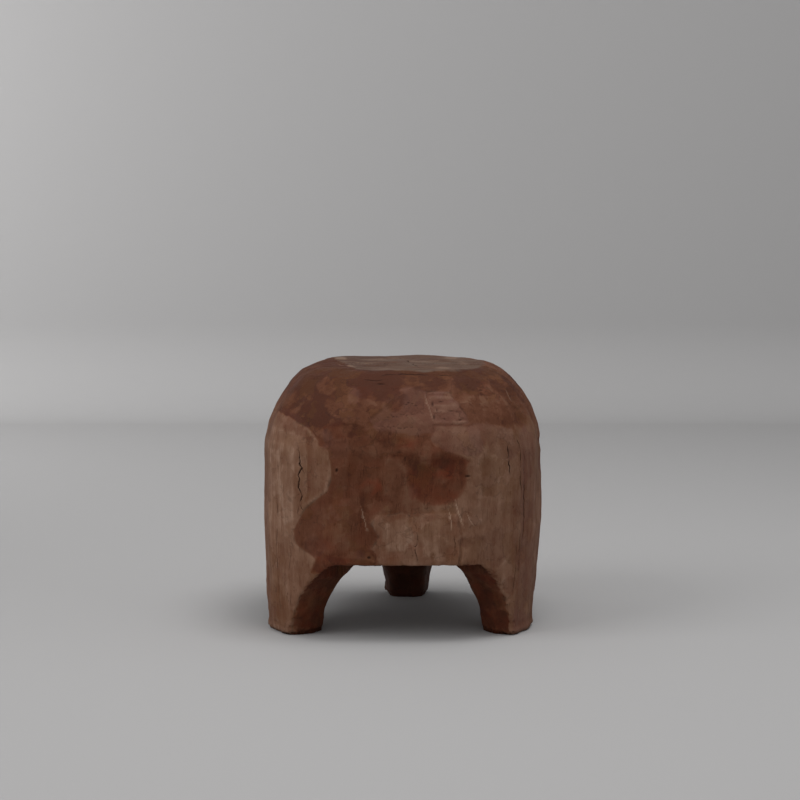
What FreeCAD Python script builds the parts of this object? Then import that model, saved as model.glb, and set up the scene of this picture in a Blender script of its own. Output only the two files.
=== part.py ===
"""A low stool hewn from one round of log: a domed seat block on three stout legs.

Millimetres, +Z up, the front of the stool towards -Y. The origin is on the floor, at the middle
of the stool's footprint. The real stool is one piece of wood. It is divided here at the underside,
where the hollows between the legs end, so that the block and each leg can be named and handled.
"""

import FreeCAD, Part
import math
import os

# Driving dimensions of the log
log_width = 396.0
log_depth = 378.0
seat_height = 371.0
corner_radius = 48.0

# Driving dimensions of the seat block
shoulder_height = 106.0
belly_rise = 45.0

# Driving dimensions of the legs
leg_height = 108.0
leg_width = 72.0
leg_inner_width = 54.0
leg_thickness = 53.0
leg_corner_radius = 16.0
hollow_headroom = 14.0
hollow_reach = 120.0
hollow_draft = 8.0
sole_bevel = 5.0
heart_advance = 2.0
leg_belly = 12.0
leg_outset = 7.0
leg_overrun = 60.0

# The hewn flats of the log, seen from above: corners as shares of half the width and half the depth
OUTLINE_SHARES = (
    (-0.49, -1.00), (-0.76, -0.79), (-0.945, -0.56), (-1.00, -0.20),
    (-1.00, 0.30), (-0.88, 0.64), (-0.62, 0.895), (-0.31, 1.00),
    (0.30, 1.00), (0.64, 0.885), (0.89, 0.63), (1.00, 0.295),
    (1.00, -0.22), (0.94, -0.50), (0.79, -0.76), (0.48, -1.00),
)

# How wide the log still is at a height, towards the left, right, front and back, as shares of its
# full half width and half depth
SOLE_SHARES = (0.972, 0.94, 0.955, 0.955)
ANKLE_SHARES = (0.988, 0.957, 0.97, 0.97)
UNDERSIDE_SHARES = (0.998, 0.985, 0.99, 0.99)
FULL_SHARES = (1.0, 1.0, 1.0, 1.0)
RIM_SHARES = (0.62, 0.60, 0.60, 0.735)

# The shoulder's curve. A higher fullness keeps that side upright for longer before it turns in,
# and a lower rim rounding turns it into the seat more sharply.
SHOULDER_FULLNESS = (1.3, 1.75, 1.6, 1.7)
RIM_ROUNDING = 0.625
SHOULDER_STEPS = 7

# The legs, each with its angle round the heart of the log, in degrees from the front with left
# negative. Then, as shares of the full sizes: how far its hollows reach out, how wide it is and how
# far its belly stands out.
LEG_NAMES = ("front_left_leg", "front_right_leg", "rear_leg")
LEG_ANGLES = (-60.0, 60.0, 177.6)
LEG_HOLLOW_SHARES = (1.0, 0.82, 0.72)
LEG_WIDTH_SHARES = (1.0, 1.0, 0.88)
LEG_BELLY_SHARES = (1.0, 1.0, 0.2)

# How far out a leg's belly is, as a share of the way from its inner to its outer face, and how
# much of the belly is gone at the underside
BELLY_PLACE_SHARE = 0.42
BELLY_FADE_SHARE = 0.75

# How far a hollow reaches in towards the heart, as a share of how far it reaches sideways
HOLLOW_INWARD_SHARE = 0.55
HOLLOW_STEPS = 8


def rounded_wire(corners, radii, height):
    """A closed wire of straight flats with an arc at each corner, level at a height."""
    count = len(corners)
    arcs = []
    for index in range(count):
        here = FreeCAD.Vector(*corners[index], height)
        before = FreeCAD.Vector(*corners[index - 1], height)
        after = FreeCAD.Vector(*corners[(index + 1) % count], height)
        to_before = (before - here).normalize()
        to_after = (after - here).normalize()
        opening = to_before.getAngle(to_after)
        reach = radii[index] / math.tan(opening / 2)
        centre_reach = radii[index] / math.sin(opening / 2)
        inward = (to_before + to_after).normalize()
        middle = here + inward * (centre_reach - radii[index])
        arcs.append((here + to_before * reach, middle, here + to_after * reach))
    edges = []
    for index, (start, middle, end) in enumerate(arcs):
        next_start = arcs[(index + 1) % count][0]
        edges.append(Part.Arc(start, middle, end).toShape())
        edges.append(Part.LineSegment(end, next_start).toShape())
    return Part.Wire(edges)


def log_section(height, shares):
    """The log's hewn outline at a height, drawn in by the four shares."""
    left, right, front, back = shares
    corners = []
    for x_share, y_share in OUTLINE_SHARES:
        x = x_share * log_width / 2 * (left if x_share < 0 else right)
        y = y_share * log_depth / 2 * (front if y_share < 0 else back)
        corners.append((x, y))
    radius = corner_radius * sum(shares) / len(shares)
    return rounded_wire(corners, [radius] * len(corners), height)


def shoulder_shares(rise):
    """How wide the log still is part of the way up the shoulder, from 0 at its foot to 1."""
    shares = []
    for rim, fullness in zip(RIM_SHARES, SHOULDER_FULLNESS):
        drawn_in = 1 - (1 - rise ** fullness) ** RIM_ROUNDING
        shares.append(1 - (1 - rim) * drawn_in)
    return shares


def seat_block():
    """The block from the underside up: flanks, rounded shoulder and flat seat."""
    shoulder_foot = seat_height - shoulder_height
    sections = [
        log_section(leg_height, UNDERSIDE_SHARES),
        log_section(leg_height + belly_rise, FULL_SHARES),
        log_section(shoulder_foot, FULL_SHARES),
    ]
    for step in range(1, SHOULDER_STEPS + 1):
        rise = math.sin(math.pi / 2 * step / SHOULDER_STEPS)
        height = shoulder_foot + rise * shoulder_height
        sections.append(log_section(height, shoulder_shares(rise)))
    return Part.makeLoft(sections, True, True)


def log_foot():
    """The outside of the log from the floor to the underside, which the legs are cut from."""
    sections = [
        log_section(0, SOLE_SHARES),
        log_section(sole_bevel, ANKLE_SHARES),
        log_section(leg_height, UNDERSIDE_SHARES),
    ]
    return Part.makeLoft(sections, True, True)


def leg_section(number, height, heart_distance, sideways, inward):
    """One level section of a leg, before the log's outside trims it, grown by two amounts.

    At the floor its sides stand out in a belly, and it ends about where the log does, so that the
    sole is a rounded six-sided one. Further up the belly fades and the section runs further out,
    and the log's outside cuts the corners to a sharp arris.
    """
    rise = height / leg_height
    inner = heart_distance - leg_thickness - inward
    outer = heart_distance + leg_outset + leg_overrun * rise
    middle = inner + (outer - inner) * BELLY_PLACE_SHARE
    inner_half = leg_inner_width / 2 * LEG_WIDTH_SHARES[number] + sideways
    splay = (leg_width - leg_inner_width) / 2 * LEG_WIDTH_SHARES[number] / leg_thickness
    belly = leg_belly * LEG_BELLY_SHARES[number] * (1 - BELLY_FADE_SHARE * rise)
    middle_half = inner_half + splay * (middle - inner) + belly
    outer_half = inner_half + splay * (outer - inner)
    inner_radius = leg_corner_radius + inward / 2
    one_side = [(inner, inner_half), (middle, middle_half), (outer, outer_half)]
    radii = [inner_radius, leg_corner_radius, leg_corner_radius]
    corners = [(x, -y) for x, y in one_side] + one_side[::-1]
    return rounded_wire(corners, radii + radii[::-1], height)


def leg(number, outside):
    """A leg that flares up into the underside in a hollow sweep, trimmed to the log.

    The sweep is a quarter of an ellipse that would top out a little above the underside.
    """
    hollow_top = leg_height + hollow_headroom
    turn = math.radians(LEG_ANGLES[number])
    heart_distance = math.hypot(log_width / 2 * math.sin(turn), log_depth / 2 * math.cos(turn))
    sections = [leg_section(number, 0, heart_distance, -sole_bevel, -sole_bevel)]
    for step in range(HOLLOW_STEPS + 1):
        height = sole_bevel + math.sin(math.pi / 2 * step / HOLLOW_STEPS) * (leg_height - sole_bevel)
        rise = height / hollow_top
        sweep = hollow_reach * (1 - math.sqrt(1 - rise * rise)) + hollow_draft * rise
        sideways = sweep * LEG_HOLLOW_SHARES[number]
        inward = sideways * HOLLOW_INWARD_SHARE
        sections.append(leg_section(number, height, heart_distance, sideways, inward))
    pillar = Part.makeLoft(sections, True, True)
    pillar.rotate(FreeCAD.Vector(), FreeCAD.Vector(0, 0, 1), LEG_ANGLES[number] - 90)
    pillar.translate(FreeCAD.Vector(0, heart_advance, 0))
    return outside.common(pillar).Solids[0]


def build():
    os.makedirs("parts", exist_ok=True)
    shapes = {"seat_block": seat_block()}
    outside = log_foot()
    for number, name in enumerate(LEG_NAMES):
        shapes[name] = leg(number, outside)
    for name, shape in shapes.items():
        shape.exportStep(f"parts/{name}.step")
        print(f"{name}: {shape.Volume:.0f} mm3, valid {shape.isValid()}")


build()
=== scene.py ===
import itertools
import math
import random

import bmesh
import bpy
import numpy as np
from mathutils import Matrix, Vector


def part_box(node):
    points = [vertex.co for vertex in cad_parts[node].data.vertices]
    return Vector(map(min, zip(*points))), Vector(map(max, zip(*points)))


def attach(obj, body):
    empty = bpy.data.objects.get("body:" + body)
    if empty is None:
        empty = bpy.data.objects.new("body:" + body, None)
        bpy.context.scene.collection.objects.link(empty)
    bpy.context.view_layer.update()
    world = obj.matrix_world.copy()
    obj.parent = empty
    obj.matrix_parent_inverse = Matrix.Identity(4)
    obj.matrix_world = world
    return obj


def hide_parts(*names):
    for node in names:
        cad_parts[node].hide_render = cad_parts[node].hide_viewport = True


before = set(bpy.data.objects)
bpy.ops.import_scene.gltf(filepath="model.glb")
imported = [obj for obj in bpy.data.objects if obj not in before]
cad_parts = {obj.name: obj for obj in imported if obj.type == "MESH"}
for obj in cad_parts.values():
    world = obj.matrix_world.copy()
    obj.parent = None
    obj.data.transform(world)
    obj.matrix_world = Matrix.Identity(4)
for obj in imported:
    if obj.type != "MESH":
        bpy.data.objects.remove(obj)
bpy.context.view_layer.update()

# %% [markdown]
# # A stool hewn from one log
#
# The real stool is one piece of old hardwood. Somebody stood a log on end, rounded its top with an
# adze, and cut arches into its foot until three legs were left. Nothing is joined, so what makes it
# look real is not its outline but its skin: broad facets with soft ridges between them, two dark
# scooped hollows on the front, drying cracks that follow the upright grain, and an old finish that
# is worn pale where hands and cloth reach it and stays dark in the hollows.
#
# The plan: take the four parts of the log from the frame as a rough blank, turn them into one even
# skin, carve that skin by moving its points, and cut it again where the frame does.

MM = 0.001
SEAT_LOW, SEAT_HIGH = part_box("seat_block")
UNDERSIDE = SEAT_LOW[2] / MM
SEAT_TOP = SEAT_HIGH[2] / MM
LEGS = ("front_left_leg", "front_right_leg", "rear_leg")
print(f"frame: seat at {SEAT_TOP:.0f} mm, underside at {UNDERSIDE:.0f} mm")

# %% [markdown]
# ## The blank
#
# The frame's parts are ruled surfaces with a few large faces, which is right for construction and
# useless for carving. A sculptor's answer is a voxel remesh: it wraps the whole log in one skin of
# small, even squares, whatever its shape, so that a mark can be cut anywhere. The legs are first
# pushed a little way up into the block, because parts that only touch would leave a wall inside.

# %% Wrap the four parts in one even skin
VOXEL = 3.95            # width of a square, in millimetres
OVERLAP = 12.0          # how far the legs are pushed up
WELD = 0.01             # points closer than this become one


def joined_parts():
    """All the frame's parts in one mesh, with the legs' tops pushed up into the block."""
    joined = bmesh.new()
    for name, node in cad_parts.items():
        part = bmesh.new()
        part.from_mesh(node.data)
        bmesh.ops.remove_doubles(part, verts=part.verts, dist=WELD * MM)
        if name in LEGS:
            for vertex in part.verts:
                if vertex.co.z > (UNDERSIDE - WELD) * MM:
                    vertex.co.z += OVERLAP * MM
        copy = bpy.data.meshes.new(name + "_copy")
        part.to_mesh(copy)
        joined.from_mesh(copy)
        part.free()
    return joined


def remeshed(bm, voxel):
    """A new mesh of even squares around everything in a bmesh."""
    rough = bpy.data.meshes.new("rough_log")
    bm.to_mesh(rough)
    stand_in = bpy.data.objects.new("rough_log", rough)
    bpy.context.collection.objects.link(stand_in)
    remesh = stand_in.modifiers.new("skin", "REMESH")
    remesh.mode = "VOXEL"
    remesh.voxel_size = voxel * MM
    graph = bpy.context.evaluated_depsgraph_get()
    wrapped = bpy.data.meshes.new_from_object(stand_in.evaluated_get(graph))
    bpy.data.objects.remove(stand_in)
    return wrapped


blank = remeshed(joined_parts(), VOXEL)
print(f"blank: {len(blank.vertices)} points, {len(blank.polygons)} faces")

# %% [markdown]
# ## Reading and moving points
#
# Carving is arithmetic on all the points at once, so the points go into numpy arrays, in
# millimetres, and come back at the end. Smoothing pulls each point towards the middle of its
# neighbours. Done alone that shrinks the log, so every pull is followed by a slightly larger push.


# %% Helpers for arrays of points
def read_array(items, field, width, kind=float):
    """One field of all of a mesh's points or edges, as rows of numbers."""
    flat = np.empty(len(items) * width, dtype=kind)
    items.foreach_get(field, flat)
    return flat.reshape(-1, width)


def put_points(mesh, points):
    """Move a mesh's points to rows of millimetres."""
    mesh.vertices.foreach_set("co", (points * MM).ravel())
    mesh.update()


def neighbour_average(values, edges):
    """For each point, the average of its rows over the points it shares an edge with."""
    count = np.bincount(edges.ravel(), minlength=len(values))[:, None]
    total = np.empty_like(values)
    for column in range(values.shape[1]):
        total[:, column] = np.bincount(edges[:, 0], values[edges[:, 1], column], len(values))
        total[:, column] += np.bincount(edges[:, 1], values[edges[:, 0], column], len(values))
    return total / np.maximum(count, 1)


def smoothed(points, edges, amount, rounds, steps=(0.60, -0.63)):
    """Points with their bumps eased out, by an amount from 0 to 1 that may differ per point."""
    for _ in range(rounds):
        for step in steps:
            points = points + amount[:, None] * step * (neighbour_average(points, edges) - points)
    return points


def ramp(values, low, high):
    """0 at low, 1 at high, and a smooth rise between them. High may be the lower one."""
    part = np.clip((values - low) / (high - low), 0, 1)
    return part * part * (3 - 2 * part)


# %% Ease the ruled bands out of the shoulder
RIM_GUARD = (SEAT_TOP - 1, SEAT_TOP - 7)       # the easing fades out here, so the rim stays crisp
base = read_array(blank.vertices, "co", 3) / MM
edges = read_array(blank.edges, "vertices", 2, np.int32)
shoulder_ease = ramp(base[:, 2], UNDERSIDE + 30, UNDERSIDE + 70)
shoulder_ease *= 0.1 + 0.9 * ramp(base[:, 2], *RIM_GUARD)
base = smoothed(base, edges, shoulder_ease, 60)
base = smoothed(base, edges, 0.9 * ramp(base[:, 2], 8, 16), 4)
print(f"shoulder eased over {(shoulder_ease > 0.5).sum()} points")

# %% Round the upright corners of the legs, but leave their soles
leg_ease = ramp(base[:, 2], UNDERSIDE - 8, UNDERSIDE - 60)
leg_ease *= ramp(base[:, 2], 2, 16)
rounded = smoothed(base, edges, leg_ease, 8)
base[:, :2] = rounded[:, :2]
put_points(blank, base)
print(f"legs rounded over {(leg_ease > 0.5).sum()} points")

# %% [markdown]
# ## Drawing on the log
#
# Every mark is drawn as if on paper held against one side of the log: so many millimetres along,
# so many up. A side is named by the angle it faces, from 0 at the front, with left negative. A mark
# only touches points that face its paper. Closed outlines become hollows and facets, lines become
# cracks, and short strokes become the chatter and pits that a blade leaves.


# %% Papers, outlines and lines
FRONT, RIGHT, BACK, LEFT, TOP = 0, 90, 180, -90, "top"


def on_paper(points, normals, side):
    """Where each point falls on a side's paper, and how squarely it faces that paper, 0 to 1."""
    if side == TOP:
        return points[:, :2], np.clip(normals[:, 2], 0, 1)
    angle = math.radians(side)
    out = np.array((math.sin(angle), -math.cos(angle), 0))
    along = np.array((math.cos(angle), math.sin(angle), 0))
    drawn = np.stack((points @ along, points[:, 2]), axis=1)
    return drawn, np.clip(normals @ out, 0, 1) * (points @ out > 0)


def line_distance(drawn, line, closed=False):
    """Distance from each drawn point to a line of points, and how far along it that is, 0 to 1."""
    line = np.asarray(line, dtype=float)
    ends = np.roll(line, -1, axis=0) if closed else line[1:]
    starts = line if closed else line[:-1]
    lengths = np.linalg.norm(ends - starts, axis=1)
    travelled = np.concatenate(([0], np.cumsum(lengths)))
    nearest = np.full(len(drawn), np.inf)
    place = np.zeros(len(drawn))
    for start, end, length, before in zip(starts, ends, lengths, travelled):
        way = (end - start) / length
        part = np.clip((drawn - start) @ way, 0, length)
        gap = np.linalg.norm(drawn - start - part[:, None] * way, axis=1)
        closer = gap < nearest
        nearest = np.where(closer, gap, nearest)
        place = np.where(closer, before + part, place)
    return nearest, place / travelled[-1]


def depth_inside(drawn, outline):
    """How far inside a closed outline each drawn point is, in millimetres. Outside is negative."""
    outline = np.asarray(outline, dtype=float)
    inside = np.zeros(len(drawn), dtype=bool)
    for (x0, y0), (x1, y1) in zip(outline, np.roll(outline, -1, axis=0)):
        if y0 != y1:
            crosses = (y0 > drawn[:, 1]) != (y1 > drawn[:, 1])
            inside ^= crosses & (drawn[:, 0] < x0 + (drawn[:, 1] - y0) * (x1 - x0) / (y1 - y0))
    gap, _ = line_distance(drawn, outline, closed=True)
    return np.where(inside, gap, -gap)


# %% [markdown]
# ## The facets and hollows
#
# The front is drawn from the photograph, in real sizes: a long dark hollow at the left with a crisp
# edge against the pale flat beside it, a round dark hollow right of the middle, a lens of wood left
# standing between the two, and a pale squared facet below. The other sides aren't seen, so they get
# hollows and flats of the same kinds: the front's outlines used again, mirrored and scaled.
#
# Each one has a cut in millimetres, the width of its sloping border, how pale the wood has worn
# there from 0 to 1, and how red it is.

# %% Outlines on the front and on the seat
# The crisp edge between the pale flat at the left and the long hollow, above and below its corner
HOLLOW_EDGE_ABOVE = (
    (-119, 287), (-113, 274), (-102, 265), (-98, 244), (-97, 228), (-103, 212), (-117, 200),
    (-133, 185),
)
HOLLOW_EDGE_BELOW = ((-148, 161), (-153, 151), (-150, 139), (-142, 130), (-128, 121))
PALE_LEFT_FLAT = (
    (-215, 318), (-179, 312), (-156, 306), (-133, 297), *HOLLOW_EDGE_ABOVE, *HOLLOW_EDGE_BELOW,
    (-118, 113), (-126, 96), (-138, 71), (-150, 36), (-156, -9), (-215, -9),
)
LONG_HOLLOW = (
    *HOLLOW_EDGE_ABOVE, (-142, 173), *HOLLOW_EDGE_BELOW,
    (-112, 115), (-60, 112), (-36, 113), (-35, 120), (-42, 133), (-35, 149), (-43, 170),
    (-36, 181), (-14, 198), (-26, 214), (-30, 232), (-20, 260), (-45, 270), (-80, 271), (-98, 277),
)
ROUND_HOLLOW = (
    (-18, 264), (7, 266), (33, 263), (59, 264), (75, 261), (90, 253), (86, 245), (88, 234),
    (85, 218), (77, 205), (66, 196), (49, 193), (28, 195), (14, 207), (7, 223), (5, 240), (-2, 252),
)
STANDING_LENS = (
    (-20, 256), (-30, 230), (-24, 206), (-12, 198), (-2, 212), (3, 229), (3, 243), (-6, 256),
)
PALE_FACET = (
    (-36, 180), (-4, 183), (20, 179), (48, 184), (74, 180), (80, 150), (78, 100), (-32, 100),
    (-35, 120), (-42, 133), (-35, 149), (-43, 168),
)
PALE_RIGHT_FLAT = (
    (46, 300), (85, 302), (112, 303), (136, 299), (153, 291), (163, 277), (167, 260), (168, 200),
    (167, 100), (162, 40), (156, -9), (148, -9), (143, 60), (130, 90), (112, 106), (80, 106),
    (82, 150), (74, 182), (68, 194), (86, 212), (92, 234), (94, 254), (78, 268), (44, 272), (38, 284),
)
SCUFFED_PLATE = (
    (33, 344), (62, 345), (75, 331), (88, 311), (93, 306), (75, 301), (46, 304), (38, 324),
)
LOW_SHOULDER = (
    (-122, 292), (-70, 305), (0, 305), (40, 300), (46, 284), (56, 268), (75, 262), (33, 262),
    (-2, 260), (-20, 258), (-45, 268), (-98, 275), (-113, 272),
)
APRON_BAND = (
    (-116, 127), (-98, 121), (-74, 119), (-50, 118), (-38, 112), (-36, 96), (-126, 96),
)
SEAT_LEDGE = ((-24, -50), (-17, 20), (-24, 80), (-20, 160), (140, 160), (150, -30), (60, -58))
SEAT_OUTLINE = (
    (-107, 102), (-84, -10), (-65, -90), (-38, -108), (31, -119), (75, -108), (102, -74),
    (119, -10), (116, 60), (84, 118), (20, 140), (-60, 138), (-96, 128),
)
print(f"outlines: {len(LONG_HOLLOW)} corners round the long hollow, {len(SEAT_OUTLINE)} round the seat")

# %% Flakes: spots where the old finish came off, or lies thicker
# outline, change of tone, redness, how mauve
FRONT_FLAKES = (
    (((-20, 345), (8, 352), (33, 344), (38, 324), (46, 304), (62, 296), (20, 289), (-36, 294),
      (-46, 306), (-28, 322)), 0.05, 0.0, 0.55),
    (SCUFFED_PLATE, 0.0, 0.0, 0.7),
    (((-66, 352), (-30, 357), (-6, 352), (-4, 340), (-30, 334), (-62, 337)), -0.12, 0.2, 0.0),
    (((-120, 352), (-104, 360), (-95, 356), (-92, 346), (-98, 338), (-112, 338)), 0.20, 0.0, 0.0),
    (((-74, 350), (-66, 352), (-58, 342), (-60, 333), (-66, 327), (-75, 332)), 0.15, 0.1, 0.3),
    (((100, 352), (112, 358), (124, 350), (126, 341), (112, 338), (102, 343)), 0.16, 0.2, 0.0),
    (((-108, 300), (-84, 307), (-52, 301), (-46, 290), (-80, 284), (-106, 288)), -0.15, 0.3, 0.0),
    (((-36, 282), (-8, 288), (8, 282), (6, 272), (-24, 270)), -0.08, 0.6, 0.0),
    (((4, 284), (16, 288), (24, 280), (20, 270), (8, 272)), 0.0, 1.0, 0.0),
    (((-186, 262), (-172, 260), (-168, 236), (-170, 200), (-180, 194), (-186, 230)), 0.10, 0.0, 0.0),
    (((-168, 240), (-151, 242), (-147, 205), (-151, 166), (-164, 158), (-171, 200)), 0.10, 0.0, 0.0),
    (((-134, 292), (-117, 282), (-103, 262), (-100, 240), (-106, 214), (-122, 200), (-134, 194),
      (-131, 240)), -0.15, 0.2, 0.0),
    (((-188, 320), (-150, 314), (-126, 300), (-116, 286), (-128, 280), (-152, 286), (-186, 292)),
     -0.18, 0.2, 0.2),
    (((-24, 170), (6, 176), (14, 150), (2, 128), (-24, 132), (-30, 150)), 0.13, 0.0, 0.0),
    (((24, 170), (60, 174), (66, 140), (52, 118), (26, 124)), 0.06, 0.2, 0.0),
    (((100, 150), (140, 160), (150, 120), (130, 100), (104, 116)), -0.04, 0.0, 0.2),
    (((38, 302), (86, 304), (112, 302), (116, 284), (104, 258), (78, 262), (40, 272)), -0.13, 0.1, 0.5),
    (((112, 304), (150, 294), (166, 262), (150, 250), (118, 262)), -0.06, 0.0, 0.4),
    (((163, 290), (196, 300), (200, 0), (152, 0), (164, 120)), 0.02, 0.1, 0.55),
    (((-62, 212), (-52, 228), (-34, 230), (-28, 216), (-42, 206)), 0.06, 1.0, 0.0),
    (((45, 240), (62, 244), (67, 228), (52, 220)), 0.08, 1.0, 0.0),
    (((22, 262), (40, 264), (43, 250), (28, 246)), 0.05, 1.0, 0.0),
    (((-104, 190), (-84, 204), (-66, 196), (-72, 176), (-96, 172)), 0.05, 0.5, 0.0),
    (((-128, 148), (-96, 162), (-70, 150), (-74, 128), (-110, 126)), 0.05, 0.5, 0.0),
)
FLAKES_PER_SIDE, FLAKE_CORNERS = 16, 9
print(f"flakes on the front: {len(FRONT_FLAKES)}")


# %% Facets and hollows that are seen, and how others are drawn from them
# side, outline, cut, slope, tone, redness, width of the paint's edge
SEEN_FACETS = (
    (FRONT, LOW_SHOULDER, 0.4, 8, 0.24, 0.15, 8.0),
    (FRONT, LONG_HOLLOW, 2.4, 16, 0.26, 0.30, 9.0),
    (FRONT, ROUND_HOLLOW, 3.0, 12, 0.18, 0.50, 8.0),
    (FRONT, STANDING_LENS, -0.9, 8, 0.36, 0.10, 4.0),
    (FRONT, PALE_FACET, -1.5, 3, 0.68, 0.40, 2.0),
    (FRONT, PALE_RIGHT_FLAT, -1.0, 9, 0.68, 0.15, 3.0),
    (FRONT, PALE_LEFT_FLAT, -0.9, 5, 0.76, 0.10, 2.0),
    (FRONT, SCUFFED_PLATE, 0.9, 4, 0.38, 0.0, 2.0),
    (FRONT, APRON_BAND, 0.8, 6, 0.10, 0.60, 5.0),
    (TOP, SEAT_LEDGE, -0.9, 3, 0.18, 0.0, 3.0),
)
CUT_RATIO_IN_MIDDLE = 0.45      # this share of a cut is reached only in the middle
MIDDLE_REACH = 28.0             # and the middle is this far from the outline


def wavy_outline(centre, half_width, half_height, seed):
    """An uneven closed outline round a centre, like the edge of a flake."""
    draw = random.Random(seed)
    outline = []
    for corner in range(FLAKE_CORNERS):
        angle = 2 * math.pi * (corner + draw.uniform(-0.25, 0.25)) / FLAKE_CORNERS
        reach = draw.uniform(0.82, 1.18)
        along = centre[0] + half_width * reach * math.cos(angle)
        up = centre[1] + half_height * reach * math.sin(angle)
        outline.append((along, up))
    return outline


def placed(outline, flip, scale, middle):
    """A drawn outline used again elsewhere: mirrored if flip is -1, scaled, round a new middle."""
    shape = np.asarray(outline) - np.mean(outline, axis=0)
    return shape * (flip * scale, scale) + middle


print(f"facets and hollows that are seen: {len(SEEN_FACETS)}")

# %% Facets and flakes that aren't seen
# side, outline used again, flip, scale, middle, cut, tone, redness
UNSEEN_FACETS = (
    (BACK, PALE_FACET, -1, 1.25, (-78, 146), -1.2, 0.70, 0.20),
    (BACK, PALE_FACET, 1, 1.30, (128, 158), -0.9, 0.72, 0.05),
    (BACK, LONG_HOLLOW, -1, 1.05, (62, 206), 2.4, 0.24, 0.30),
    (BACK, ROUND_HOLLOW, -1, 1.30, (-82, 232), 3.0, 0.18, 0.50),
    (LEFT, PALE_FACET, 1, 1.20, (24, 150), -1.0, 0.68, 0.15),
    (LEFT, LONG_HOLLOW, 1, 0.95, (-62, 214), 2.4, 0.24, 0.35),
    (RIGHT, PALE_FACET, 1, 1.30, (-30, 156), -0.9, 0.66, 0.20),
    (RIGHT, ROUND_HOLLOW, 1, 1.45, (26, 226), 2.8, 0.20, 0.40),
    (RIGHT, PALE_FACET, -1, 1.10, (128, 176), -0.6, 0.70, 0.10),
)
UNSEEN_SLOPE, UNSEEN_EDGE = 9, 3.0
FACETS = list(SEEN_FACETS)
for side, outline, flip, scale, middle, cut, tone, red in UNSEEN_FACETS:
    outline = placed(outline, flip, scale, middle)
    FACETS.insert(0, (side, outline, cut, UNSEEN_SLOPE, tone, red, UNSEEN_EDGE))
print(f"facets: {len(FACETS)}, {len(UNSEEN_FACETS)} of them on the sides that aren't seen")

FLAKES = [(FRONT, *flake) for flake in FRONT_FLAKES]
draw = random.Random(5)
for side in (FRONT, RIGHT, BACK, LEFT):
    for number in range(FLAKES_PER_SIDE):
        middle = (draw.uniform(-150, 150), draw.uniform(20, 352))
        half_width, half_height = draw.uniform(6, 20), draw.uniform(7, 17)
        outline = wavy_outline(middle, half_width, half_height, seed=200 + number)
        shift = draw.uniform(-0.13, 0.13)
        red, mauve_share = draw.uniform(0, 0.4), draw.uniform(0, 0.4)
        FLAKES.append((side, outline, shift, red, mauve_share))
print(f"flakes: {len(FLAKES)}")

# %% [markdown]
# ## Cracks, cuts and chatter
#
# A log dries faster at its skin than at its heart, so it splits along the grain: upright on the
# sides, and out from the heart on the seat. The long zigzag crack at the left and the short ones at
# the right are the real ones. Pale slashes are fresh cuts in the old finish. Chatter is the row of
# little nicks that a blade leaves as it skips across the grain.

# %% Cracks on the sides
# side, line, width, depth
CRACKS = [
    (FRONT, ((-142, 268), (-143, 253), (-139, 240), (-143, 229), (-141, 222), (-143, 213),
             (-139, 203), (-143, 189), (-145, 172)), 2.0, 4.5),
    (FRONT, ((-140, 241), (-134, 233), (-134, 226)), 1.3, 2.2),
    (FRONT, ((-142, 204), (-149, 196)), 1.3, 2.2), (FRONT, ((-143, 190), (-137, 182)), 1.2, 2.0),
    (FRONT, ((144, 272), (146, 250), (148, 228)), 1.8, 2.4),
    (FRONT, ((158, 284), (163, 262), (162, 226), (165, 196)), 1.6, 2.0),
    (FRONT, ((169, 262), (168, 224), (170, 170), (167, 120)), 1.4, 1.8),
    (FRONT, ((-40, 366), (0, 367), (44, 367), (84, 365)), 1.5, 0.9),
    (FRONT, ((-56, 361), (-36, 360), (-22, 362)), 1.1, 0.8),
    (FRONT, ((86, 352), (96, 356), (100, 362)), 1.2, 0.8),
    (FRONT, ((16, 172), (20, 160), (21, 146), (17, 133), (20, 120), (22, 108)), 1.1, 1.2),
    (FRONT, ((163, 149), (163, 112), (160, 60)), 1.2, 0.8),
    (FRONT, ((157, 150), (158, 120), (155, 84), (152, 52)), 1.1, 0.7),
    (FRONT, ((70, 152), (72, 136), (71, 118)), 1.0, 0.7),
    (FRONT, ((-176, 205), (-174, 170), (-177, 120), (-173, 60), (-170, 18)), 1.2, 0.7),
    (FRONT, ((-156, 120), (-158, 92), (-155, 60), (-157, 30)), 1.0, 0.6),
    (LEFT, ((60, 246), (64, 210), (59, 176), (63, 140)), 2.0, 3.5),
    (LEFT, ((-22, 176), (-19, 150), (-24, 112), (-20, 84)), 1.6, 2.4),
    (LEFT, ((-112, 262), (-108, 220), (-113, 184)), 1.8, 3.0),
    (BACK, ((-8, 282), (-4, 252), (-10, 214), (-6, 176), (-9, 150)), 2.0, 4.0),
    (BACK, ((112, 232), (115, 200), (110, 158), (113, 120)), 1.8, 3.0),
    (BACK, ((-116, 190), (-119, 160), (-115, 118)), 1.6, 2.2),
    (RIGHT, ((-14, 268), (-10, 230), (-15, 196), (-11, 150), (-14, 118)), 2.1, 4.0),
    (RIGHT, ((84, 250), (88, 216), (84, 186)), 1.6, 2.5),
]
print(f"cracks on the sides: {len(CRACKS)}")

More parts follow.
